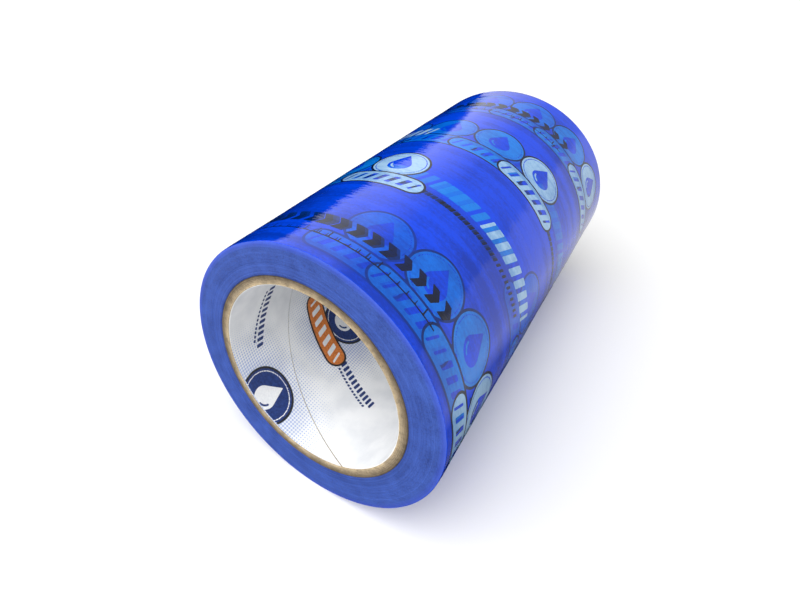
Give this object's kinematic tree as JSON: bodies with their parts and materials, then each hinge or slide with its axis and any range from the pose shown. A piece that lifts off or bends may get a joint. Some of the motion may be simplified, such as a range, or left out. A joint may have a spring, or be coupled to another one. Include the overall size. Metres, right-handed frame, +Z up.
{
  "type": "masking tape roll",
  "caption": "Wide roll of blue film masking tape on a spiral-wound paperboard core, lying on its side, with a tail that peels off and folds back.",
  "frame": {"origin": "on the floor under the middle of the roll, which lies on its side", "axes": "+Y along the roll's axis from the front end to the back end, +Z up, tail on the -X side"},
  "size_m": [0.11, 0.2032, 0.11],
  "materials": {
    "liner_paper": "matt, printed in pale blue dots, navy and orange",
    "kraft_board": "raw cut edge",
    "top_ply_paper": "smooth calendered face, raw cut edge",
    "wound_film": "cut ends of many turns, satin",
    "tape_film": "glossy film with fine wrinkles, printed in white and black"
  },
  "bodies": {
    "roll": {"core_liner": "liner_paper", "core_ply_1": "kraft_board", "core_ply_2": "kraft_board", "core_ply_3": "kraft_board", "core_ply_4": "kraft_board", "core_ply_5": "kraft_board", "core_top_ply": "top_ply_paper", "wound_turns": "wound_film", "outer_turn": "tape_film"},
    "tail_1": {"tail_1": "tape_film"},
    "tail_2": {"tail_2": "tape_film"},
    "tail_3": {"tail_3": "tape_film"},
    "tail_4": {"tail_4": "tape_film"},
    "tail_5": {"tail_5": "tape_film"},
    "tail_6": {"tail_6": "tape_film"}
  },
  "joints": [
    {"name": "tail_peel", "type": "hinge", "parent": "roll", "child": "tail_1", "pos_m": [-0.03821, 0, 0.09456], "axis": [0, 1, 0], "range_deg": [0, 170]},
    {"name": "tail_bend_2", "type": "hinge", "parent": "tail_1", "child": "tail_2", "pos_m": [-0.04334, 0, 0.08886], "axis": [0, 1, 0], "range_deg": [0, 16]},
    {"name": "tail_bend_3", "type": "hinge", "parent": "tail_2", "child": "tail_3", "pos_m": [-0.04763, 0, 0.0825], "axis": [0, 1, 0], "range_deg": [0, 16]},
    {"name": "tail_bend_4", "type": "hinge", "parent": "tail_3", "child": "tail_4", "pos_m": [-0.051, 0, 0.0756], "axis": [0, 1, 0], "range_deg": [0, 16]},
    {"name": "tail_bend_5", "type": "hinge", "parent": "tail_4", "child": "tail_5", "pos_m": [-0.05337, 0, 0.06831], "axis": [0, 1, 0], "range_deg": [0, 16]},
    {"name": "tail_bend_6", "type": "hinge", "parent": "tail_5", "child": "tail_6", "pos_m": [-0.0547, 0, 0.06075], "axis": [0, 1, 0], "range_deg": [0, 16]}
  ],
  "couplings": [
    {"joint": "tail_bend_2", "follows": "tail_peel", "ratio": 0.094},
    {"joint": "tail_bend_3", "follows": "tail_peel", "ratio": 0.094},
    {"joint": "tail_bend_4", "follows": "tail_peel", "ratio": 0.094},
    {"joint": "tail_bend_5", "follows": "tail_peel", "ratio": 0.094},
    {"joint": "tail_bend_6", "follows": "tail_peel", "ratio": 0.094}
  ]
}
